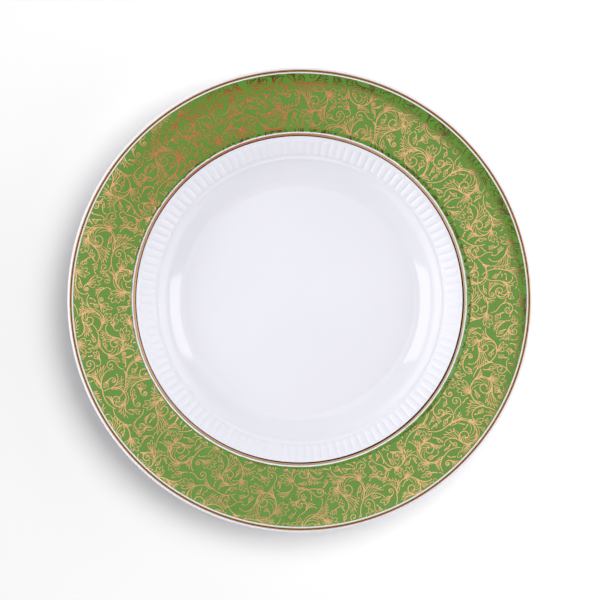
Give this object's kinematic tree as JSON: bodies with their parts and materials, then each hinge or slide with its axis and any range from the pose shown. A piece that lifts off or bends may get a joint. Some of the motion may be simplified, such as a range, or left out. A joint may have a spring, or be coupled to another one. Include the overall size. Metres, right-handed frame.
{
  "type": "dinner plate",
  "caption": "Round china dinner plate with a deep well, a ribbed collar, a broad green rim with gilt scrollwork between gilt lines, and a foot ring.",
  "frame": {"origin": "centre of the foot ring's resting plane, under the middle of the plate", "axes": "+Z is the turning axis, up out of the well; +X and +Y lie in the resting plane and are interchangeable, because the plate is round"},
  "size_m": [0.27, 0.27, 0.0299],
  "materials": {
    "biscuit_porcelain": "matt unglazed porcelain, seen only on the foot ring's edge",
    "white_glaze": "glossy clear glaze over cool white porcelain",
    "recess_glaze": "glossy clear glaze, slightly uneven",
    "green_enamel": "smooth semi-gloss overglaze enamel",
    "scroll_gilt": null,
    "inner_gilt": null,
    "bright_gilt": null
  },
  "bodies": {
    "root": {"porcelain_body": "biscuit_porcelain", "outer_glaze_coat": "white_glaze", "foot_recess_glaze": "recess_glaze", "green_enamel_band": "green_enamel", "gilt_scrollwork": "scroll_gilt", "inner_gilt_band": "inner_gilt", "outer_gilt_band": "bright_gilt"}
  },
  "joints": []
}
